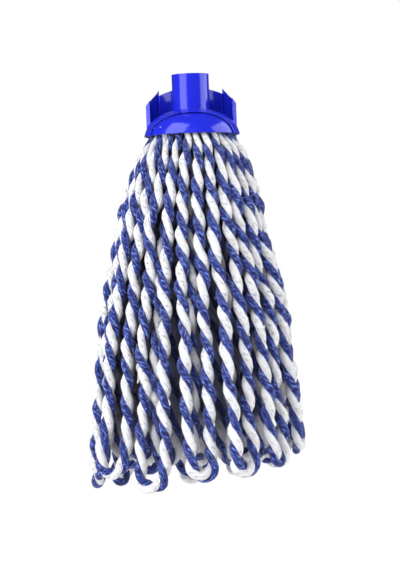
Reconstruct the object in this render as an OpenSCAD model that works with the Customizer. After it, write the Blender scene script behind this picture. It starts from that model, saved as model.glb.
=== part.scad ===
// Looped-yarn mop head: a moulded socket cap over two rings of two-ply yarn loops.
// Millimetres, +Z up. The origin is the centre of the handle socket's mouth.

/* [Handle socket] */
// Outside diameter of the socket tube
tube_od = 29; // [27:0.5:36]
// Bore diameter for the handle
bore_d = 22.6; // [18:0.1:23.4]
// Depth of the bore below the mouth
bore_depth = 34; // [20:1:36]
// Height of the mouth above the cap's rim
tube_rise = 48; // [46:1:60]

/* [Dome] */
// Diameter of the cap at its rim
rim_d = 72.8; // [70:0.5:90]
// Height of the dome above the rim
dome_rise = 20.8; // [18:0.2:25]
// Radius of the dome's flat top
dome_top_r = 58; // [50:1:75]
// Wall thickness of the dome
cap_wall = 2.2; // [1.5:0.1:2.8]
// Depth of the raised brow along the dome's front edge
brow_band = 3.6; // [2:0.1:5]
// How far the brow stands proud of the dome
brow_proud = 1; // [0.4:0.1:1.6]

/* [Crown] */
// Distance from the rim's edge in to the crown wall
crown_inset = 1.1; // [0.6:0.1:3]
// Thickness of the crown wall
crown_wall = 3; // [2:0.1:4]
// Height of the wing peaks above the rim
wing_peak = 38; // [30:0.2:44]
// Height of the wing shoulders above the rim
wing_shoulder = 24.4; // [18:0.2:28]
// Distance of the wing peaks from the centre plane
wing_peak_x = 24.9; // [20:0.1:27]
// Height of the back wall above the rim, at its middle
back_peak = 40.2; // [30:0.2:44]
// Radius of the back wall's arched top
back_arch_r = 50; // [40:1:80]

/* [Yarn clamp] */
// Diameter of the clamp plug's flange
plug_d = 22.6; // [16:0.2:23]
// Shank diameter of the screw
screw_d = 4; // [3:0.5:5]
// Head diameter of the screw
screw_head_d = 8; // [7:0.2:9]
// Outside diameter of the washer
washer_d = 11; // [10:0.2:12]
// Thickness of the washer
washer_t = 1; // [0.6:0.1:1.6]
// Mean radius of the binding ring in the gathered yarn
binding_r = 24; // [20:0.5:27]
// Wire diameter of the binding ring
binding_wire_d = 2.4; // [1.6:0.1:3]

/* [Yarn] */
// Number of sectors, each with one outer and one inner loop
sectors = 14; // [10:1:14]
// Yarn diameter where it hangs free
yarn_d = 9; // [7:0.1:9.4]
// Yarn diameter where the cap squeezes it
neck_d = 6.4; // [5:0.1:6.5]
// Clearance between the gathered yarn and the loops below it
hinge_gap = 0.3; // [0.3:0.1:1]

/* [Hidden] */
$fn = 96;

fit_gap = 0.2;
rim_r = rim_d / 2;
rim_z = -tube_rise;
tube_r = tube_od / 2;
crown_r = rim_r - crown_inset;
socket_floor = 2.5;
wall_lap = 0.7;
boss_r = 5;
boss_drop = 7.5;

// The dome's outline is a flat top arc that runs into a round shoulder arc at join_x.
join_x = 24;
join_z = dome_rise - dome_top_r + sqrt(pow(dome_top_r, 2) - pow(join_x, 2));
norm_x = join_x / dome_top_r;
norm_z = sqrt(1 - pow(norm_x, 2));
to_rim = [rim_r - join_x, -join_z];
shoulder_r = -(to_rim * to_rim) / (2 * (to_rim[0] * norm_x + to_rim[1] * norm_z));
shoulder_x = join_x - shoulder_r * norm_x;
shoulder_z = join_z - shoulder_r * norm_z;
cavity_r = shoulder_x + sqrt(pow(shoulder_r - cap_wall, 2) - pow(shoulder_z, 2));

// Heights above the rim of what stacks up under the socket's floor.
bore_floor = tube_rise - bore_depth;
floor_under = bore_floor - socket_floor;
boss_under = floor_under - boss_drop;
core_top = floor_under - 1.5;
binding_z = 5.5;
plug_flange_t = 3;
plug_neck_r = 7.5;
screw_head_t = 2.6;
screw_bite = 8;
core_bore_r = plug_d / 2 + 0.5;

// Neck radii: the outer ring lies inside the rim and the inner loops' legs step in from it.
leg_gap = 0.4;
outer_neck_r = cavity_r - neck_d / 2 - leg_gap;
mid_neck_r = outer_neck_r - neck_d - 1.1;
core_neck_r = max(core_bore_r + neck_d / 2 + 0.2, (neck_d + 0.3) / (2 * sin(180 / sectors)));
loop_top = -(0.7 + hinge_gap);
sector = 360 / sectors;
leg_turn = sector / 4;

// How the three kinds of leg fall: [distance out from the neck, height above the rim].
outer_fall = [[0, 0], [1.6, -5], [5, -10], [9.8, -18], [14.6, -34], [21, -58],
    [27.6, -88], [36, -125], [41.5, -165], [44.5, -205], [48.5, -238]];
mid_fall = [[0, 0], [0, -5], [0.8, -10], [3.8, -18], [9.8, -34], [17, -58],
    [26.6, -88], [35.6, -125], [40.6, -165], [42.6, -205], [43, -226]];
core_fall = [[0, 0], [0, -5], [0.6, -10], [2, -18], [5.5, -34], [10, -58],
    [15, -88], [20, -125], [23.5, -165], [25, -205], [24.5, -226]];
outer_drop = 16;
inner_drop = 8;
loop_spread = 0.12;
skirt_drift = 4;

// How each sector's outer loop differs: [more reach, more drop, sideways lean, wider loop, turned loop].
outer_habit = [[0.5, -16, 0.5, -0.5, -0.5], [-2, -8, 2.5, -1, -4.5], [0.5, 0, 2.5, -1.5, 1.5], [4, 4, 4, -1, 2],
    [3.5, -4, 3, -2.5, -3], [-2, 2, 1, -1, -2.5], [2.5, 5, -2.5, -1.5, -0.5], [-1.5, 0, -0.5, -2, -2.5],
    [2.5, -2, -1.5, -2, -4.5], [0, 10, -0.5, -0.5, 0], [3.5, 1, 2.5, -2, -3], [3, -1, 1, -1.5, -4],
    [-1, -4, 2.5, -1.5, -2], [1, -20, 3, -1, -2]];
// How each sector's inner loop differs: [more reach, more drop, sideways lean, core leg's lean].
inner_habit = [[0.5, 2, -2.5, 0], [3, 7, 1, 0.5], [0.5, 3, -0.5, -1.5], [2, -1, 2.5, -0.5], [2.5, 0, 4, -0.5],
    [-1.5, -3, -3, -2.5], [-1, 4, -3, 1], [-1.5, 8, -2, -1.5], [-1.5, 2, -2, 0.5], [1, 6, -2.5, -2],
    [1.5, 7, -2.5, 2.5], [-2, 7, -2, 1], [-1, 4, -3.5, -1.5], [2.5, -4, -4, -1.5]];

// Outline of half the dome, grown by t, above the rim.
module dome_half(t) {
    split_x = join_x + t * norm_x;
    intersection() {
        translate([0, dome_rise - dome_top_r]) circle(r = dome_top_r + t);
        square([split_x, dome_rise + t + 1]);
    }
    intersection() {
        translate([shoulder_x, shoulder_z]) circle(r = shoulder_r + t);
        translate([split_x, 0]) square([rim_r + t, dome_rise + t + 1]);
    }
}

module dome_solid(t) {
    rotate_extrude() dome_half(t);
}

// The dome's outline, grown by t, as points from the right-hand rim to the top.
function dome_points(t) = concat(
    [for (a = [-6 : 14 : 64]) [shoulder_x + (shoulder_r + t) * cos(a), shoulder_z + (shoulder_r + t) * sin(a)]],
    [for (a = [72, 82]) [(dome_top_r + t) * cos(a), dome_rise - dome_top_r + (dome_top_r + t) * sin(a)]]
);

// The full front outline of the dome, grown by t, run through from front to back.
module dome_vault(t, depth) {
    right = dome_points(t);
    left = [for (p = reversed(right)) [-p[0], p[1]]];
    rotate([90, 0, 0]) linear_extrude(depth, center = true)
        polygon(concat([[right[0][0], -5]], right, left, [[-right[0][0], -5]]));
}

module front_half(size) {
    translate([-size, -size, -1]) cube([2 * size, size, size]);
}

module brow() {
    intersection() {
        difference() {
            dome_solid(brow_proud);
            dome_vault(-brow_band, 4 * rim_r);
        }
        front_half(2 * rim_r);
    }
}

// A part of a ring wall, standing on the rim plane, from one bearing to another.
module ring_wall(outer, wall, height, from, to) {
    rotate([0, 0, from]) rotate_extrude(angle = to - from)
        translate([outer - wall, 0]) square([wall, height]);
}

// One raised wing of the crown, its top sloping down to the shoulder and its end face turned a little outwards.
module wing() {
    end_y = -1.2;
    end_turn = 32;
    intersection() {
        ring_wall(crown_r, crown_wall, wing_peak + 1, -8, 60);
        rotate([90, 0, 0]) linear_extrude(4 * crown_r, center = true)
            polygon([[wing_peak_x, 0], [crown_r, 0], [crown_r, wing_shoulder], [wing_peak_x, wing_peak]]);
        translate([0, 0, -1]) linear_extrude(wing_peak + 2)
            polygon([
                [crown_r - 2 * crown_wall, end_y - 2 * crown_wall * tan(end_turn)],
                [crown_r + 2, end_y + 2 * tan(end_turn)],
                [crown_r + 2, 2 * crown_r],
                [0, 2 * crown_r],
                [0, crown_r / 2]
            ]);
    }
}

// The lower wall round the back, a little inside the wings, with an arched top.
module back_wall() {
    intersection() {
        ring_wall(crown_r - crown_wall + wall_lap, crown_wall, back_peak + 1, 36, 144);
        rotate([90, 0, 0]) linear_extrude(4 * crown_r, center = true) intersection() {
            translate([0, back_peak - back_arch_r]) circle(r = back_arch_r);
            translate([-wing_peak_x - 0.4, 0]) square([2 * wing_peak_x + 0.8, back_peak + 1]);
        }
    }
}

// The upright rib that ties the back wall to the socket tube.
module back_rib() {
    rib_t = 2.4;
    translate([-rib_t / 2, tube_r - 1, 0])
        cube([rib_t, crown_r - 2 * crown_wall - tube_r + 2, back_peak - 9]);
}

module socket_cap() {
    color("blue") translate([0, 0, rim_z]) difference() {
        union() {
            difference() {
                union() {
                    dome_solid(0);
                    brow();
                    wing();
                    mirror([1, 0, 0]) wing();
                    back_wall();
                    back_rib();
                }
                translate([0, 0, -0.01]) dome_solid(-cap_wall);
            }
            translate([0, 0, floor_under]) cylinder(r = tube_r, h = tube_rise - floor_under);
            translate([0, 0, boss_under]) cylinder(r = boss_r, h = boss_drop + 0.5);
        }
        translate([0, 0, bore_floor]) cylinder(d = bore_d, h = bore_depth + 1);
        translate([0, 0, boss_under - 1]) cylinder(d = screw_d, h = screw_bite + 1);
    }
}

module yarn_core() {
    color("lightsteelblue") translate([0, 0, rim_z]) difference() {
        union() {
            rotate_extrude() intersection() {
                dome_half(-cap_wall - fit_gap);
                translate([core_bore_r, 0]) square([rim_r, core_top]);
            }
            translate([0, 0, -0.7]) difference() {
                cylinder(r = cavity_r - fit_gap - 0.1, h = 0.71);
                translate([0, 0, -1]) cylinder(r = core_bore_r, h = 3);
            }
        }
        translate([0, 0, binding_z]) rotate_extrude()
            translate([binding_r, 0]) circle(d = binding_wire_d + 0.1);
    }
}

module binding_ring() {
    color("silver") translate([0, 0, rim_z + binding_z]) rotate_extrude()
        translate([binding_r, 0]) circle(d = binding_wire_d);
}

module clamp_plug() {
    color("white") translate([0, 0, rim_z]) difference() {
        union() {
            translate([0, 0, -0.5]) cylinder(d = plug_d, h = plug_flange_t);
            cylinder(r = plug_neck_r, h = boss_under);
        }
        translate([0, 0, -5]) cylinder(d = screw_d + 0.6, h = 20);
    }
}

module plug_washer() {
    color("silver") translate([0, 0, rim_z - 0.5 - washer_t]) difference() {
        cylinder(d = washer_d, h = washer_t);
        translate([0, 0, -1]) cylinder(d = screw_d + 0.6, h = washer_t + 2);
    }
}

module plug_screw() {
    head_top = -0.5 - washer_t;
    slot_w = 1.1;
    color("silver") translate([0, 0, rim_z]) difference() {
        union() {
            translate([0, 0, head_top - screw_head_t]) cylinder(d = screw_head_d, h = screw_head_t);
            translate([0, 0, head_top]) cylinder(d = screw_d - 0.04, h = boss_under + screw_bite - 0.5 - head_top);
        }
        for (turn = [0, 90]) rotate([0, 0, turn])
            translate([-2.4, -slot_w / 2, head_top - screw_head_t - 1]) cube([4.8, slot_w, 2.4]);
    }
}

// Yarn diameter at a height: squeezed at the neck and full below it.
function girth(z) = neck_d + (yarn_d - neck_d) * min(1, max(0, -z - 6) / 50);

// How far a height lies down the free yarn's first 60 mm, from 0 to 1.
function below(z) = min(1, max(0, -z - 6) / 60);

// One leg's points, from the top down: x outwards, y sideways, z up, in the sector's own frame.
function leg(fall, neck, side, reach, drop, lean, gape) = [
    for (p = fall)
        let (s = -p[1] / 238, r = neck + p[0] + reach * s * s, wide = 1 + loop_spread * below(p[1]))
        [r, side * (r * tan(leg_turn) * wide + gape * s * s) + lean * s * s,
            p[1] < -1 ? p[1] - drop * s : loop_top]
];

// The bend that joins two legs: a half circle below their ends.
function bend(a, b, steps) = [
    for (i = [1 : steps - 1])
        let (t = 180 * i / steps, m = (a + b) / 2, h = (a - b) / 2)
        m + h * cos(t) - [0, 0, norm(h) * sin(t)]
];

// A sector's points turned to its bearing. The skirt as a whole hangs a little to the left.
function turned(points, angle) = [
    for (p = points)
        [p[0] * cos(angle) - p[1] * sin(angle) - skirt_drift * below(p[2]), p[0] * sin(angle) + p[1] * cos(angle), p[2]]
];

function reversed(points) = [for (i = [len(points) - 1 : -1 : 0]) points[i]];

function joined(a, b) = concat(a, bend(a[len(a) - 1], b[len(b) - 1], 6), reversed(b));

// Bearing of a sector's middle.
function bearing(k) = (k + 0.5) * sector;

function outer_leg(k, side) =
    let (h = outer_habit[k])
    leg(outer_fall, outer_neck_r, side, h[0] + side * h[4], h[1] + outer_drop, h[2], h[3]);

function outer_route(k) = turned(joined(outer_leg(k, -1), outer_leg(k, 1)), bearing(k));

function inner_route(k) =
    let (h = inner_habit[k], drop = h[1] + inner_drop)
    turned(joined(leg(mid_fall, mid_neck_r, 0, h[0], drop, h[2], 0),
        leg(core_fall, core_neck_r, 0, h[0], drop, h[3] - h[2], 0)), bearing(k));

function unit(v) = v / norm(v);

// A square frame across the route at point i, carried along so that it never flips.
function heading(points, i) =
    unit(points[min(i + 1, len(points) - 1)] - points[max(i - 1, 0)]);

function side_of(points, i, last) =
    let (t = heading(points, i))
    unit(last - t * (last * t));

function sides(points, i = 0, last = [0, 0, 0]) =
    i == len(points) ? [] :
    let (s = side_of(points, i, i == 0 ? cross(heading(points, 0), unit([points[0][1], -points[0][0], 0])) : last))
    concat([s], sides(points, i + 1, s));

module yarn(points) {
    n = 8;
    count = len(points);
    side = sides(points);
    rings = [
        for (i = [0 : count - 1])
            let (t = i == 0 || i == count - 1 ? [0, 0, i == 0 ? -1 : 1] : heading(points, i),
                u = unit(side[i] - t * (side[i] * t)), v = cross(t, u), r = girth(points[i][2]) / 2)
            for (j = [0 : n - 1])
                points[i] + r * (u * cos(360 * j / n) + v * sin(360 * j / n))
    ];
    walls = [
        for (i = [0 : count - 2], j = [0 : n - 1])
            let (a = i * n + j, b = i * n + (j + 1) % n)
            each [[a, a + n, b], [b, a + n, b + n]]
    ];
    caps = [
        [for (j = [0 : n - 1]) j],
        [for (j = [n - 1 : -1 : 0]) (count - 1) * n + j]
    ];
    translate([0, 0, rim_z]) polyhedron(rings, concat(walls, caps));
}

module outer_loop(k) {
    color("royalblue") yarn(outer_route(k));
}

module inner_loop(k) {
    color("aliceblue") yarn(inner_route(k));
}

socket_cap();
yarn_core();
binding_ring();
clamp_plug();
plug_washer();
plug_screw();
for (i = [1 : sectors]) {
    outer_loop(i - 1);
    inner_loop(i - 1);
}
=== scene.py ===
"""Dresses a looped-yarn mop head: twisted two-ply yarn loops under a glossy moulded socket cap."""

import math
import random

import bpy
import numpy as np
from mathutils import Matrix, Vector


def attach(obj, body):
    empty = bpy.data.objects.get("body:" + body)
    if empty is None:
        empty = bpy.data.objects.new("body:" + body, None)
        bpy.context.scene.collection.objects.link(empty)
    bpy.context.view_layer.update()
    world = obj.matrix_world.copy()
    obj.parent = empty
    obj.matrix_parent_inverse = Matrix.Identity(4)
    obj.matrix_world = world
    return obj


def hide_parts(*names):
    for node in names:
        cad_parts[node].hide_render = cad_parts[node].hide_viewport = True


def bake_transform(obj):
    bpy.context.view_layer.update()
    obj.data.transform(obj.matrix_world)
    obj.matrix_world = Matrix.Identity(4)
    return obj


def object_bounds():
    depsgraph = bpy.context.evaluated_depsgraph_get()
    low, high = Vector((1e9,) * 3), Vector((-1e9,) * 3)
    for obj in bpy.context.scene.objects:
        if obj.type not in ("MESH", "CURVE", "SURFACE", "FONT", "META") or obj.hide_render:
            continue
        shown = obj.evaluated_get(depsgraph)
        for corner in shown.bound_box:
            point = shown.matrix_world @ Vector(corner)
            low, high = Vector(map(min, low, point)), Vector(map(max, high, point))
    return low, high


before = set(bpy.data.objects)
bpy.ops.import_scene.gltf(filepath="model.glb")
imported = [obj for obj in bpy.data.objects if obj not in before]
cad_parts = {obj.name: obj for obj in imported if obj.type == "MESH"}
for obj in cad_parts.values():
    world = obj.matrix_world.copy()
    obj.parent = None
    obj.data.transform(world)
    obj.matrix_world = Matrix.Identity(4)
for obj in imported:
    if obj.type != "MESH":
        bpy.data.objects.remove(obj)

bl_info = {
    "name": "Looped Mop Head",
    "version": (1, 0, 0),
    "blender": (4, 5, 0),
    "location": "View3D > Sidebar > Mop Head",
    "description": "Twisted yarn loops, gathered yarn and moulded finishes for a mop head",
    "category": "Object",
}

MM = 0.001
START_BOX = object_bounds()

# The same sizes and routes as the part's source, in millimetres above the cap's rim.
RIM_Z = -48.0
RIM_R = 36.4
DOME_RISE = 20.8
DOME_TOP_R = 58.0
CAP_WALL = 2.2
JOIN_X = 24.0
SECTORS = 14
NECK_D = 6.4
YARN_D = 9.0
LEG_GAP = 0.4
PLUG_D = 22.6
LOOP_TOP = -1.0
OUTER_FALL = [(0, 0), (1.6, -5), (5, -10), (9.8, -18), (14.6, -34), (21, -58),
              (27.6, -88), (36, -125), (41.5, -165), (44.5, -205), (48.5, -238)]
MID_FALL = [(0, 0), (0, -5), (0.8, -10), (3.8, -18), (9.8, -34), (17, -58),
            (26.6, -88), (35.6, -125), (40.6, -165), (42.6, -205), (43, -226)]
CORE_FALL = [(0, 0), (0, -5), (0.6, -10), (2, -18), (5.5, -34), (10, -58),
             (15, -88), (20, -125), (23.5, -165), (25, -205), (24.5, -226)]
OUTER_DROP = 16.0
INNER_DROP = 8.0
LOOP_SPREAD = 0.12
SKIRT_DRIFT = 4.0
OUTER_HABIT = [(0.5, -16, 0.5, -0.5, -0.5), (-2, -8, 2.5, -1, -4.5), (0.5, 0, 2.5, -1.5, 1.5), (4, 4, 4, -1, 2),
               (3.5, -4, 3, -2.5, -3), (-2, 2, 1, -1, -2.5), (2.5, 5, -2.5, -1.5, -0.5), (-1.5, 0, -0.5, -2, -2.5),
               (2.5, -2, -1.5, -2, -4.5), (0, 10, -0.5, -0.5, 0), (3.5, 1, 2.5, -2, -3), (3, -1, 1, -1.5, -4),
               (-1, -4, 2.5, -1.5, -2), (1, -20, 3, -1, -2)]
INNER_HABIT = [(0.5, 2, -2.5, 0), (3, 7, 1, 0.5), (0.5, 3, -0.5, -1.5), (2, -1, 2.5, -0.5), (2.5, 0, 4, -0.5),
               (-1.5, -3, -3, -2.5), (-1, 4, -3, 1), (-1.5, 8, -2, -1.5), (-1.5, 2, -2, 0.5), (1, 6, -2.5, -2),
               (1.5, 7, -2.5, 2.5), (-2, 7, -2, 1), (-1, 4, -3.5, -1.5), (2.5, -4, -4, -1.5)]
BEND_STEPS = 6
FALL_END = 238.0
FREE_FROM = 6.0
SPREAD_OVER = 60.0
SWELL_OVER = 50.0
CORE_BORE_WALL = 0.5


def cavity_radius():
    """Inside radius of the cap at its rim."""
    join_z = DOME_RISE - DOME_TOP_R + math.sqrt(DOME_TOP_R ** 2 - JOIN_X ** 2)
    nx = JOIN_X / DOME_TOP_R
    nz = math.sqrt(1 - nx * nx)
    dx, dz = RIM_R - JOIN_X, -join_z
    shoulder = -(dx * dx + dz * dz) / (2 * (dx * nx + dz * nz))
    return JOIN_X - shoulder * nx + math.sqrt((shoulder - CAP_WALL) ** 2 - (join_z - shoulder * nz) ** 2)


OUTER_NECK = cavity_radius() - NECK_D / 2 - LEG_GAP
MID_NECK = OUTER_NECK - NECK_D - 1.1
CORE_BORE = PLUG_D / 2 + CORE_BORE_WALL
CORE_NECK = max(CORE_BORE + NECK_D / 2 + 0.2, (NECK_D + 0.3) / (2 * math.sin(math.pi / SECTORS)))
SECTOR = 2 * math.pi / SECTORS
LEG_TURN = SECTOR / 4


def below(z):
    """How far a height lies down the free yarn's first 60 mm, from 0 to 1."""
    return np.clip((-z - FREE_FROM) / SPREAD_OVER, 0, 1)


def leg(fall, neck, side, reach, drop, lean, gape):
    """One leg of a loop from the top down, in the sector's own frame."""
    points = []
    for out, z in fall:
        s = -z / FALL_END
        r = neck + out + reach * s * s
        wide = 1 + LOOP_SPREAD * below(z)
        y = side * (r * math.tan(LEG_TURN) * wide + gape * s * s) + lean * s * s
        points.append((r, y, z - drop * s if z < -1 else LOOP_TOP))
    return points


def bend(a, b):
    """The half circle that joins two legs below their ends."""
    a, b = np.array(a), np.array(b)
    m, h = (a + b) / 2, (a - b) / 2
    size = np.linalg.norm(h)
    turns = [math.pi * i / BEND_STEPS for i in range(1, BEND_STEPS)]
    return [tuple(m + h * math.cos(t) - np.array((0, 0, size * math.sin(t)))) for t in turns]


def outer_route(k):
    reach, drop, lean, gape, tilt = OUTER_HABIT[k]
    a, b = (leg(OUTER_FALL, OUTER_NECK, side, reach + side * tilt, drop + OUTER_DROP, lean, gape) for side in (-1, 1))
    return a + bend(a[-1], b[-1]) + b[::-1]


def inner_route(k):
    reach, drop, lean, core_lean = INNER_HABIT[k]
    a = leg(MID_FALL, MID_NECK, 0, reach, drop + INNER_DROP, lean, 0)
    b = leg(CORE_FALL, CORE_NECK, 0, reach, drop + INNER_DROP, core_lean - lean, 0)
    return a + bend(a[-1], b[-1]) + b[::-1]


def placed(route, k):
    """A sector's route in the row frame, in metres."""
    turn = (k + 0.5) * SECTOR
    c, s = math.cos(turn), math.sin(turn)
    p = np.array(route)
    x = p[:, 0] * c - p[:, 1] * s - SKIRT_DRIFT * below(p[:, 2])
    out = np.stack([x, p[:, 0] * s + p[:, 1] * c, p[:, 2] + RIM_Z], axis=1)
    return out * MM


def smooth_line(points, step):
    """A Catmull-Rom curve through the points, cut into even steps."""
    p = np.vstack([2 * points[0] - points[1], points, 2 * points[-1] - points[-2]])
    dense = []
    for i in range(1, len(p) - 2):
        p0, p1, p2, p3 = p[i - 1], p[i], p[i + 1], p[i + 2]
        k0 = np.linalg.norm(p1 - p0) ** 0.5
        k1 = k0 + np.linalg.norm(p2 - p1) ** 0.5
        k2 = k1 + np.linalg.norm(p3 - p2) ** 0.5
        for t in np.linspace(k0, k1, CURVE_STEPS, endpoint=False):
            a1 = (k0 - t) / k0 * p0 + t / k0 * p1
            a2 = (k1 - t) / (k1 - k0) * p1 + (t - k0) / (k1 - k0) * p2
            a3 = (k2 - t) / (k2 - k1) * p2 + (t - k1) / (k2 - k1) * p3
            b1 = (k1 - t) / k1 * a1 + t / k1 * a2
            b2 = (k2 - t) / (k2 - k0) * a2 + (t - k0) / (k2 - k0) * a3
            dense.append((k1 - t) / (k1 - k0) * b1 + (t - k0) / (k1 - k0) * b2)
    dense.append(p[-2])
    dense = np.array(dense)
    run = np.concatenate([[0], np.cumsum(np.linalg.norm(np.diff(dense, axis=0), axis=1))])
    at = np.linspace(0, run[-1], max(8, int(run[-1] / step)))
    return np.stack([np.interp(at, run, dense[:, j]) for j in range(3)], axis=1), at


def girth(z):
    """Yarn diameter in millimetres at a height above the rim."""
    return NECK_D + (YARN_D - NECK_D) * np.clip((-z - FREE_FROM) / SWELL_OVER, 0, 1)


def frames_along(line):
    """Tangents and two side vectors that don't spin along the line."""
    t = np.gradient(line, axis=0)
    t /= np.linalg.norm(t, axis=1)[:, None]
    u = np.zeros_like(t)
    start = np.cross(t[0], (line[0][1], -line[0][0], 0))
    u[0] = start / np.linalg.norm(start)
    for i in range(1, len(t)):
        v = u[i - 1] - t[i] * np.dot(u[i - 1], t[i])
        u[i] = v / np.linalg.norm(v)
    return t, u, np.cross(t, u)


PLY_COLUMNS = 10
STRANDS = 5
CURVE_STEPS = 24
FIBRE_STEPS = 6
FIBRE_SIDES = 3
FIBRE_LIMIT = 1.27
UV_UNIT = 0.01
# Painted shade deep inside the skirt starts SKIN_DEPTH in from its outside, grows to full over the fade length and
# lessens near the loops' ends.
SKIN_DEPTH = 4.0
PAINTED_SHADE_FADE = 12.0
OPEN_END = 262.0
OPEN_FADE = 45.0
SKIRT_STRETCH = 1.07


def skirt_radius(z):
    """Radius in millimetres of the skirt's outside at a height above the rim."""
    heights = [-p[1] for p in OUTER_FALL]
    return OUTER_NECK + np.interp(-z / SKIRT_STRETCH, heights, [p[0] for p in OUTER_FALL]) + YARN_D / 2


def depth_for_painted_shade(points):
    """How far inside the skirt each point lies, from 0 on its outside to 1, and 0 near the loops' ends: the amount of
    painted shade the yarn gets there.
    """
    z = points[:, 2] / MM - RIM_Z
    out = np.hypot(points[:, 0] / MM + SKIRT_DRIFT * below(z), points[:, 1] / MM)
    inside = (skirt_radius(z) - out - SKIN_DEPTH) / PAINTED_SHADE_FADE
    return np.clip(inside, 0, 1) * np.clip((z + OPEN_END) / OPEN_FADE, 0.25, 1)


def ply_wave(rng, at):
    """The yarn's uneven twist and swelling along its length."""
    wander = sum(rng.uniform(0.25, 0.6) * np.sin(at / w + rng.uniform(0, 6.3)) for w in (0.017, 0.041))
    swell = 1 + 0.06 * np.sin(at / 0.013 + rng.uniform(0, 6.3)) + 0.035 * np.sin(at / 0.0051 + rng.uniform(0, 6.3))
    return wander * 0.6, swell


def yarn_object(name, verts, faces, plies, uv, painted_shade_amount):
    """A yarn mesh in the scene, with a ply for each face, its place along the yarn and its depth in the skirt, which
    sets its painted shade.
    """
    mesh = bpy.data.meshes.new(name)
    mesh.from_pydata(verts.tolist(), [], faces)
    mesh.polygons.foreach_set("material_index", plies.astype(np.int32))
    mesh.polygons.foreach_set("use_smooth", np.ones(len(plies), dtype=bool))
    mesh.uv_layers.new(name="along").data.foreach_set("uv", uv)
    # Point attribute with the amount of painted shade each point gets.
    mesh.attributes.new("painted_shade_amount", "FLOAT", "POINT").data.foreach_set("value", painted_shade_amount)
    obj = bpy.data.objects.new(name, mesh)
    bpy.context.scene.collection.objects.link(obj)
    return obj


def stray_fibres(line, half, u, v, rng, count):
    """Fine loose fibres that stand off the yarn, as thin three-sided tubes."""
    verts, faces = [], []
    n = len(line)
    for _ in range(count):
        i = rng.randrange(12, n - 12)
        angle = rng.uniform(0, 2 * math.pi)
        out = u[i] * math.cos(angle) + v[i] * math.sin(angle)
        along = (line[i + 3] - line[i - 3]) * rng.choice((-1, 1))
        along /= np.linalg.norm(along)
        side = np.cross(out, along)
        reach = rng.uniform(0.004, 0.010)
        lift = rng.uniform(0.0008, 0.0024)
        thin = rng.uniform(0.00010, 0.00018)
        curl = rng.uniform(-0.003, 0.003)
        start = line[i] + out * half[i] * 0.9
        base = len(verts)
        for step in range(FIBRE_STEPS):
            t = step / (FIBRE_STEPS - 1)
            middle = start + along * reach * t + out * lift * math.sin(t * math.pi * 0.8) + side * curl * t * t
            gaps = np.linalg.norm(line - middle, axis=1)
            near = int(gaps.argmin())
            middle = line[near] + (middle - line[near]) * min(1, FIBRE_LIMIT * half[near] / gaps[near])
            for corner in range(FIBRE_SIDES):
                a = corner * 2 * math.pi / FIBRE_SIDES
                verts.append(middle + (out * math.cos(a) + side * math.sin(a)) * thin * (1 - 0.6 * t))
        for step in range(FIBRE_STEPS - 1):
            row = base + step * FIBRE_SIDES
            for corner in range(FIBRE_SIDES):
                a, b = row + corner, row + (corner + 1) % FIBRE_SIDES
                faces.append([a, b, b + FIBRE_SIDES, a + FIBRE_SIDES])
    return verts, faces


def twisted_yarn(name, points, rng, settings):
    """A two-ply yarn along the points, with one material slot for each ply."""
    line, at = smooth_line(points, settings.ring_step)
    depth = np.clip(-(line[:, 2] / MM - RIM_Z) / 60, 0, 1)
    t, u, v = frames_along(line)
    sway = np.zeros_like(line)
    for axis in (u, v):
        for wave in (0.085, 0.05, 0.032):
            phase = rng.uniform(0, 2 * math.pi)
            amount = settings.sway * rng.uniform(0.4, 1.0) * wave / 0.085
            sway += axis * (np.sin(at / wave * 2 * math.pi + phase) * amount * depth)[:, None]
    line = line + sway
    t, u, v = frames_along(line)
    half = girth(line[:, 2] / MM - RIM_Z) / 2 * MM
    wander, swell = ply_wave(rng, at)
    turn = rng.uniform(0, 2 * math.pi) - 2 * math.pi * at / settings.lead + wander
    columns = 2 * PLY_COLUMNS
    flat, fat = settings.ply_offset, 1 - settings.ply_offset
    verts = []
    for j in range(columns):
        ply, c = divmod(j, PLY_COLUMNS)
        delta = math.pi * (c / PLY_COLUMNS - 0.5)
        r = flat * math.cos(delta) + math.sqrt(fat * fat - (flat * math.sin(delta)) ** 2)
        strand = 1 + settings.strand_relief * np.sin(2 * STRANDS * delta + at / 0.0036 + ply * 1.7 + swell * 9)
        angle = turn + ply * math.pi + delta
        radius = half * swell * r * settings.plump * strand
        verts.append(line + (u * np.cos(angle)[:, None] + v * np.sin(angle)[:, None]) * radius[:, None])
    verts = np.stack(verts, axis=1)
    n = len(line)
    flat_verts = verts.reshape(-1, 3)
    i, j = np.meshgrid(np.arange(n - 1), np.arange(columns), indexing="ij")
    a = i * columns + j
    b = i * columns + (j + 1) % columns
    faces = np.stack([a, b, b + columns, a + columns], axis=-1).reshape(-1, 4)
    plies = (np.broadcast_to(j // PLY_COLUMNS, i.shape)).reshape(-1)
    caps = [list(range(columns))[::-1], [(n - 1) * columns + c for c in range(columns)]]
    loose, loose_faces = stray_fibres(line, half, u, v, rng, settings.fibres)
    shift = len(flat_verts)
    loose_faces = [[shift + c for c in face] for face in loose_faces]
    all_verts = np.vstack([flat_verts, np.array(loose)]) if loose else flat_verts
    loose_ply = [rng.randrange(2) for _ in range(settings.fibres) for _ in range(FIBRE_SIDES * (FIBRE_STEPS - 1))]
    index = np.concatenate([plies, [0, 0], loose_ply])
    cu = ((j % PLY_COLUMNS) / PLY_COLUMNS).reshape(-1)
    cv = at[i].reshape(-1)
    du = 1 / PLY_COLUMNS
    step = at[1] - at[0]
    uv = np.stack([cu, cv, cu + du, cv, cu + du, cv + step, cu, cv + step], axis=-1)
    uv[:, 1::2] /= UV_UNIT
    uv = np.concatenate([uv.reshape(-1), np.zeros(2 * 2 * columns + 2 * 4 * len(loose_faces))])
    obj = yarn_object(name, all_verts, faces.tolist() + caps + loose_faces, index, uv, depth_for_painted_shade(all_verts))
    return obj, line


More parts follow.
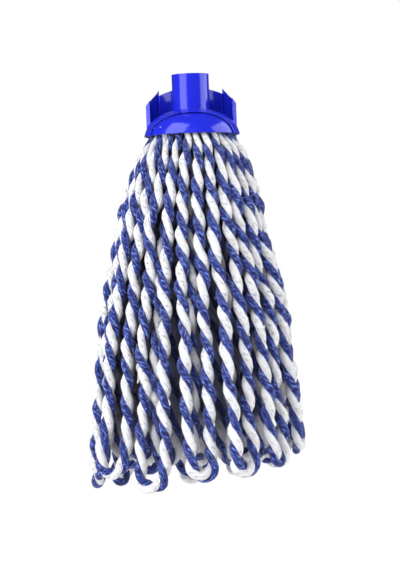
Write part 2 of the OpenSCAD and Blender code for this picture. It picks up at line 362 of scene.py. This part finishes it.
def core_outline():
    """The gathered yarn's outline in the cap, as [radius, height] in millimetres, round from the bore."""
    inner_top = DOME_TOP_R - CAP_WALL - 0.5
    points = [(CORE_BORE + 0.5, 0.4), (CORE_BORE + 0.5, 9.5)]
    for r in (14, 17, 20, 22.5):
        points.append((r, min(10.0, DOME_RISE - DOME_TOP_R + math.sqrt(inner_top ** 2 - r * r))))
    edge = cavity_radius() - 0.8
    for t in (0.25, 0.5, 0.75):
        r = 22.5 + (edge - 22.5) * math.sin(t * math.pi / 2)
        points.append((r, 9.6 * math.cos(t * math.pi / 2)))
    points += [(edge, 0.9), (edge - 0.3, -0.3)]
    points += [(r, -0.3 - 0.3 * math.sin(math.pi * (r - CORE_BORE) / (edge - CORE_BORE))) for r in (30, 26, 22, 18, 15)]
    points.append((CORE_BORE + 0.8, -0.2))
    return points


def gathered_yarn(name, settings):
    """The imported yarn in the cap: radial yarns side by side, each with two plies wound round it."""
    outline = np.array(core_outline() + [core_outline()[0]])
    rim = np.concatenate([[0], np.cumsum(np.linalg.norm(np.diff(outline, axis=0), axis=1))])
    at = np.linspace(0, rim[-1], 96, endpoint=False)
    path = np.stack([np.interp(at, rim, outline[:, j]) for j in (0, 1)], axis=1)
    yarns, columns = 2 * SECTORS, 12
    across = yarns * columns
    centre = np.array([(CORE_BORE + cavity_radius()) / 2, 4.5])
    verts = np.zeros((len(path), across, 3))
    for c in range(across):
        angle = 2 * math.pi * c / across
        valley = abs(math.sin(math.pi * ((c % columns) / columns)))
        squeeze = 1.1 * (1 - valley ** 0.6)
        inward = centre - path
        inward /= np.linalg.norm(inward, axis=1)[:, None]
        p = path + inward * squeeze
        verts[:, c] = np.stack([p[:, 0] * math.cos(angle), p[:, 0] * math.sin(angle), p[:, 1] + RIM_Z], axis=1) * MM
    rows, cols = np.meshgrid(np.arange(len(path)), np.arange(across), indexing="ij")
    nxt, right = (rows + 1) % len(path), (cols + 1) % across
    faces = np.stack([rows * across + cols, rows * across + right, nxt * across + right, nxt * across + cols], axis=-1)
    twist = (cols % columns) / columns + at[rows] / (settings.lead / MM) + (cols // columns) * 0.37
    u0 = (cols % columns).reshape(-1) / columns * 2
    v0 = at[rows].reshape(-1) / 10
    du, dv = 2 / columns, at[1] / 10
    uv = np.stack([u0, v0, u0 + du, v0, u0 + du, v0 + dv, u0, v0 + dv], axis=-1)
    # The gathered yarn in the cap gets painted shade at 0.9 of full depth all over.
    return yarn_object(name, verts.reshape(-1, 3), faces.reshape(-1, 4).tolist(),
                       (np.floor(twist * 2) % 2).reshape(-1), uv.reshape(-1), np.full(len(path) * across, 0.9))


def new_material(name):
    material = bpy.data.materials.new(name)
    material.use_nodes = True
    nodes = material.node_tree.nodes
    nodes.clear()
    shader = nodes.new("ShaderNodeBsdfPrincipled")
    out = nodes.new("ShaderNodeOutputMaterial")
    material.node_tree.links.new(shader.outputs[0], out.inputs[0])
    return material, nodes, material.node_tree.links, shader


def ramp(nodes, stops):
    node = nodes.new("ShaderNodeValToRGB")
    line = node.color_ramp
    while len(line.elements) < len(stops):
        line.elements.new(0.5)
    for element, (place, colour) in zip(line.elements, stops):
        element.position = place
        element.color = (*colour, 1)
    return node


def noise_node(nodes, scale, detail, roughness=0.6):
    node = nodes.new("ShaderNodeTexNoise")
    node.inputs["Scale"].default_value = scale
    node.inputs["Detail"].default_value = detail
    node.inputs["Roughness"].default_value = roughness
    return node


def multiplied(nodes, links, first, second, share):
    """Two colours multiplied, the second by a share."""
    node = nodes.new("ShaderNodeMix")
    node.data_type = "RGBA"
    node.blend_type = "MULTIPLY"
    node.inputs["Factor"].default_value = share
    links.new(first, node.inputs["A"])
    links.new(second, node.inputs["B"])
    return node.outputs["Result"]


def bumped(nodes, links, shader, height, strength, distance, edge=0.0):
    """Fine relief on the surface, and edges that look rounded by that radius."""
    bump = nodes.new("ShaderNodeBump")
    bump.inputs["Strength"].default_value = strength
    bump.inputs["Distance"].default_value = distance
    links.new(height, bump.inputs["Height"])
    if edge:
        rounded = nodes.new("ShaderNodeBevel")
        rounded.samples = 8
        rounded.inputs["Radius"].default_value = edge
        links.new(rounded.outputs[0], bump.inputs["Normal"])
    links.new(bump.outputs[0], shader.inputs["Normal"])


def ply_material(name, dark, body, light, seed, low, high, painted_shade_colour):
    """Spun cotton: strands along the ply, flecked lighter and darker, with painted shade in the grooves between strands
    and painted shade deep inside the skirt.
    """
    material, nodes, links, shader = new_material(name)
    shader.inputs["Roughness"].default_value = 0.85
    shader.inputs["Specular IOR Level"].default_value = 0.2
    shader.inputs["Sheen Weight"].default_value = 0.15
    shader.inputs["Sheen Roughness"].default_value = 0.5
    uv = nodes.new("ShaderNodeUVMap")
    uv.uv_map = "along"
    mapping = nodes.new("ShaderNodeMapping")
    mapping.inputs["Location"].default_value = (seed, seed * 0.7, 0)
    mapping.inputs["Rotation"].default_value = (0, 0, 0.35)
    mapping.inputs["Scale"].default_value = (6.5, 2.6, 1)
    links.new(uv.outputs[0], mapping.inputs[0])
    noise = noise_node(nodes, 1.25, 4, 0.66)
    links.new(mapping.outputs[0], noise.inputs["Vector"])
    colours = ramp(nodes, [(low, dark), ((low + high) / 2, body), (high, light)])
    links.new(noise.outputs[0], colours.inputs[0])
    strands = nodes.new("ShaderNodeTexWave")
    strands.inputs["Scale"].default_value = 0.55
    strands.inputs["Distortion"].default_value = 1.6
    strands.inputs["Detail"].default_value = 2
    links.new(mapping.outputs[0], strands.inputs["Vector"])
    # Painted shade in the grooves between strands, darkening the colour along the wave bands.
    groove_painted_shade = ramp(nodes, [(0.0, (0.16, 0.17, 0.24)), (0.5, (1, 1, 1))])
    links.new(strands.outputs["Fac"], groove_painted_shade.inputs[0])
    colour = multiplied(nodes, links, colours.outputs[0], groove_painted_shade.outputs[0], 0.8)
    # Painted shade: the colour darkens to the given shade colour deep inside the skirt.
    inside = nodes.new("ShaderNodeAttribute")
    inside.attribute_name = "painted_shade_amount"
    shade = ramp(nodes, [(0.0, (1, 1, 1)), (1.0, painted_shade_colour)])
    links.new(inside.outputs["Fac"], shade.inputs[0])
    colour = multiplied(nodes, links, colour, shade.outputs[0], 1.0)
    links.new(colour, shader.inputs["Base Color"])
    add = nodes.new("ShaderNodeMath")
    add.operation = "ADD"
    links.new(noise.outputs[0], add.inputs[0])
    links.new(strands.outputs["Fac"], add.inputs[1])
    bumped(nodes, links, shader, add.outputs[0], 0.8, 0.0007)
    return material


def mottled_material(name, colour, tint, metallic, roughness, spread, scale, relief, edge=0.0):
    """A plain finish with faint mottling in its colour, its gloss and its surface."""
    material, nodes, links, shader = new_material(name)
    shader.inputs["Metallic"].default_value = metallic
    place = nodes.new("ShaderNodeTexCoord")
    noise = noise_node(nodes, scale, 5)
    links.new(place.outputs["Object"], noise.inputs["Vector"])
    colours = ramp(nodes, [(0.3, colour), (0.7, tint)])
    links.new(noise.outputs[0], colours.inputs[0])
    links.new(colours.outputs[0], shader.inputs["Base Color"])
    gloss = nodes.new("ShaderNodeMapRange")
    gloss.inputs["To Min"].default_value = roughness
    gloss.inputs["To Max"].default_value = roughness + spread
    fine = noise_node(nodes, scale * 3.7, 3)
    links.new(place.outputs["Object"], fine.inputs["Vector"])
    links.new(fine.outputs[0], gloss.inputs["Value"])
    links.new(gloss.outputs[0], shader.inputs["Roughness"])
    bumped(nodes, links, shader, fine.outputs[0], relief, 0.0003, edge)
    return material


class YarnSettings(bpy.types.PropertyGroup):
    lead: bpy.props.FloatProperty(name="Lead", description="Length of yarn in one full twist",
        default=0.030, unit="LENGTH")
    ring_step: bpy.props.FloatProperty(name="Ring step", description="Distance between the mesh's rings",
        default=0.0017, unit="LENGTH")
    sway: bpy.props.FloatProperty(name="Sway", description="How far the yarn wanders from its route",
        default=0.0013, unit="LENGTH")
    ply_offset: bpy.props.FloatProperty(
        name="Ply offset",
        description="Distance of each ply's middle from the yarn's middle, as a share of its radius",
        default=0.36, subtype="FACTOR")
    strand_relief: bpy.props.FloatProperty(
        name="Strand relief",
        description="Depth of the grooves between strands, as a share of the yarn's radius",
        default=0.035, subtype="FACTOR")
    fibres: bpy.props.IntProperty(name="Stray fibres", description="Loose fibres on each loop",
        default=26)
    plump: bpy.props.FloatProperty(name="Plumpness", description="Yarn size against its nominal size",
        default=1.16, subtype="FACTOR")
    blue_dark: bpy.props.FloatVectorProperty(name="Blue, dark", description="Shaded fibres of the blue ply",
        default=(0.003, 0.004, 0.060), subtype="COLOR")
    blue: bpy.props.FloatVectorProperty(name="Blue", description="Body of the blue ply",
        default=(0.020, 0.045, 0.34), subtype="COLOR")
    blue_light: bpy.props.FloatVectorProperty(name="Blue, light", description="Light flecks of the blue ply",
        default=(0.24, 0.37, 0.88), subtype="COLOR")
    white: bpy.props.FloatVectorProperty(name="White", description="Body of the white ply",
        default=(0.90, 0.90, 0.90), subtype="COLOR")
    white_dark: bpy.props.FloatVectorProperty(name="White, dark", description="Shaded fibres of the white ply",
        default=(0.36, 0.36, 0.42), subtype="COLOR")
    seed: bpy.props.IntProperty(name="Seed", description="Start of the random draws",
        default=7)


class CapSettings(bpy.types.PropertyGroup):
    blue: bpy.props.FloatVectorProperty(name="Cap blue", description="Colour of the moulded cap",
        default=(0.010, 0.017, 0.47), subtype="COLOR")
    roughness: bpy.props.FloatProperty(name="Cap roughness", description="Roughness of the cap's surface",
        default=0.13, subtype="FACTOR")


class StageSettings(bpy.types.PropertyGroup):
    distance: bpy.props.FloatProperty(name="Camera distance", description="From the camera to the object",
        default=3.2, unit="LENGTH")
    frame_height: bpy.props.FloatProperty(
        name="Frame height",
        description="Height that the frame covers at the object",
        default=0.4446, unit="LENGTH")
    elevation: bpy.props.FloatProperty(name="Elevation", description="Camera angle above the horizon",
        default=math.radians(-2), subtype="ANGLE")
    roll: bpy.props.FloatProperty(name="Roll", description="Camera roll",
        default=math.radians(2.0), subtype="ANGLE")
    floor_drop: bpy.props.FloatProperty(name="Floor drop", description="Floor below the lowest loop",
        default=0.095, unit="LENGTH")


CAMERA_AIM = (0.0021, 0, -0.1647)
LIGHT_AIM = (0, 0, -0.12)
FLOOR_R = 0.85
FLOOR_CORNERS = 96
# Name, azimuth, elevation, width, height, distance, power, and whether gloss mirrors it.
SOFTBOXES = (
    ("left_softbox", -47, 24, 1.1, 2.5, 1.3, 33, True),
    ("right_softbox", 93, 12, 1.45, 1.9, 1.3, 27, True),
    ("front_softbox", -8, 34, 1.2, 0.9, 1.7, 20, False),
    ("back_softbox", 170, 38, 1.6, 1.2, 1.8, 20, False),
)


class MOPHEAD_OT_stage(bpy.types.Operator):
    """Make the camera, the floor and the lights"""
    bl_idname = "mophead.stage"
    bl_label = "Stage"

    def execute(self, context):
        s = context.scene.mophead_stage
        scene = context.scene
        scene.view_settings.view_transform = "Standard"
        aim = Vector(CAMERA_AIM)
        camera = bpy.data.cameras.new("camera")
        camera.sensor_width = 36
        camera.sensor_fit = "AUTO"
        camera.lens = camera.sensor_width * s.distance / s.frame_height
        camera.clip_end = 50
        obj = bpy.data.objects.new("camera", camera)
        scene.collection.objects.link(obj)
        obj.location = aim + Vector((0, -math.cos(s.elevation), math.sin(s.elevation))) * s.distance
        look = (aim - obj.location).to_track_quat("-Z", "Y").to_matrix().to_4x4()
        obj.matrix_world = Matrix.Translation(obj.location) @ look @ Matrix.Rotation(-s.roll, 4, "Z")
        scene.camera = obj
        world = bpy.data.worlds.new("studio")
        scene.world = world
        world.use_nodes = True
        nodes, links = world.node_tree.nodes, world.node_tree.links
        nodes.clear()
        out = nodes.new("ShaderNodeOutputWorld")
        seen, felt = nodes.new("ShaderNodeBackground"), nodes.new("ShaderNodeBackground")
        for backdrop, strength in ((seen, 1.0), (felt, 0.10)):
            backdrop.inputs[0].default_value = (1, 1, 1, 1)
            backdrop.inputs[1].default_value = strength
        path = nodes.new("ShaderNodeLightPath")
        mix = nodes.new("ShaderNodeMixShader")
        links.new(path.outputs["Is Camera Ray"], mix.inputs[0])
        links.new(felt.outputs[0], mix.inputs[1])
        links.new(seen.outputs[0], mix.inputs[2])
        links.new(mix.outputs[0], out.inputs[0])
        for name, azimuth, elevation, width, height, distance, power, mirrored in SOFTBOXES:
            box = self.softbox(scene, name, azimuth, elevation, width, height, distance, power)
            box.visible_glossy = mirrored
        sheet = bpy.data.meshes.new("floor")
        z = START_BOX[0][2] - s.floor_drop
        turns = [2 * math.pi * a / FLOOR_CORNERS for a in range(FLOOR_CORNERS)]
        sheet.from_pydata([(FLOOR_R * math.cos(t), FLOOR_R * math.sin(t), z) for t in turns], [],
                          [tuple(range(FLOOR_CORNERS))])
        floor = bpy.data.objects.new("floor", sheet)
        scene.collection.objects.link(floor)
        material, _, _, shader = new_material("pale_floor")
        shader.inputs["Base Color"].default_value = (0.93, 0.93, 0.93, 1)
        shader.inputs["Roughness"].default_value = 0.9
        sheet.materials.append(material)
        return {"FINISHED"}

    def softbox(self, scene, name, azimuth, elevation, width, height, distance, power):
        """A rectangular light that faces the cap. Azimuth 0 is the camera's side and 90 is the right."""
        light = bpy.data.lights.new(name, "AREA")
        light.shape = "RECTANGLE"
        light.size = width
        light.size_y = height
        light.energy = power
        obj = bpy.data.objects.new(name, light)
        scene.collection.objects.link(obj)
        a, e = math.radians(azimuth), math.radians(elevation)
        aim = Vector(LIGHT_AIM)
        obj.location = aim + Vector((math.sin(a) * math.cos(e), -math.cos(a) * math.cos(e), math.sin(e))) * distance
        obj.rotation_euler = (aim - obj.location).to_track_quat("-Z", "Y").to_euler()
        return obj


def add_loop(kind, k, route, materials, settings, rng):
    """One yarn loop in its sector, hanging from the rim in place of the part's own loop."""
    points = placed(route, k)
    up = np.array((0, 0, 1.0))
    tail = [points[0] + up * h * MM for h in (7, 3.5)]
    tip = [points[-1] + up * h * MM for h in (3.5, 7)]
    obj, line = twisted_yarn(f"{kind}_yarn_{k + 1}", np.vstack([tail, points, tip]), rng, settings)
    for material in materials:
        obj.data.materials.append(material)
    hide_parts(f"{kind}_loop_{k + 1}")
    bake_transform(obj)


class MOPHEAD_OT_yarn(bpy.types.Operator):
    """Twist the yarn loops"""
    bl_idname = "mophead.yarn"
    bl_label = "Yarn loops"

    def execute(self, context):
        s = context.scene.mophead_yarn
        # The last colour of each ply is its painted shade deep inside the skirt.
        blue = ply_material("blue_ply", s.blue_dark, s.blue, s.blue_light, 0.0, 0.43, 0.64,
                            (0.13, 0.13, 0.24))
        white = ply_material("white_ply", s.white_dark, s.white, (0.97, 0.97, 0.97), 3.1, 0.36, 0.56,
                             (0.10, 0.105, 0.17))
        rng = random.Random(s.seed)
        for k in range(SECTORS):
            add_loop("outer", k, outer_route(k), (blue, white), s, rng)
            add_loop("inner", k, inner_route(k), (blue, white), s, rng)
        core = gathered_yarn("gathered_yarn", s)
        core.data.materials.append(blue)
        core.data.materials.append(white)
        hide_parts("yarn_core")
        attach(core, "head")
        return {"FINISHED"}


class MOPHEAD_OT_cap(bpy.types.Operator):
    """Finish the moulded cap and the clamp's hardware"""
    bl_idname = "mophead.cap"
    bl_label = "Cap and clamp"

    def execute(self, context):
        s = context.scene.mophead_cap
        r = s.roughness
        cap = mottled_material("cap_plastic", s.blue, tuple(c * 0.93 for c in s.blue), 0, r, 0.05, 38, 0.05, 0.0008)
        plug = mottled_material("plug_plastic", (0.80, 0.80, 0.78), (0.74, 0.74, 0.73), 0, 0.42, 0.12, 55, 0.10, 0.0005)
        zinc = mottled_material("zinc_plate", (0.60, 0.61, 0.63), (0.50, 0.51, 0.54), 1, 0.28, 0.18, 160, 0.12)
        wire = mottled_material("binding_wire", (0.52, 0.53, 0.55), (0.40, 0.41, 0.43), 1, 0.36, 0.18, 220, 0.15)
        for node, material in (("socket_cap", cap), ("clamp_plug", plug), ("plug_washer", zinc),
                               ("plug_screw", zinc), ("binding_ring", wire)):
            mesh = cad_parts[node].data
            mesh.materials.clear()
            mesh.materials.append(material)
        return {"FINISHED"}


class MOPHEAD_PT_panel(bpy.types.Panel):
    """Lists the mop head's settings and steps"""
    bl_idname = "MOPHEAD_PT_panel"
    bl_label = "Mop Head"
    bl_space_type = "VIEW_3D"
    bl_region_type = "UI"
    bl_category = "Mop Head"

    def draw(self, context):
        layout = self.layout
        for group in (context.scene.mophead_yarn, context.scene.mophead_cap, context.scene.mophead_stage):
            box = layout.box()
            for name in group.bl_rna.properties.keys():
                if name not in ("rna_type", "name"):
                    box.prop(group, name)
        for step in STEPS:
            layout.operator(step.bl_idname)


STEPS = (MOPHEAD_OT_stage, MOPHEAD_OT_yarn, MOPHEAD_OT_cap)
CLASSES = (YarnSettings, CapSettings, StageSettings, *STEPS, MOPHEAD_PT_panel)


def register():
    for cls in CLASSES:
        bpy.utils.register_class(cls)
    bpy.types.Scene.mophead_yarn = bpy.props.PointerProperty(type=YarnSettings)
    bpy.types.Scene.mophead_cap = bpy.props.PointerProperty(type=CapSettings)
    bpy.types.Scene.mophead_stage = bpy.props.PointerProperty(type=StageSettings)


def unregister():
    del bpy.types.Scene.mophead_stage
    del bpy.types.Scene.mophead_cap
    del bpy.types.Scene.mophead_yarn
    for cls in reversed(CLASSES):
        bpy.utils.unregister_class(cls)


def main():
    register()
    bpy.ops.mophead.stage()
    bpy.ops.mophead.yarn()
    bpy.ops.mophead.cap()


if __name__ == "__main__":
    main()
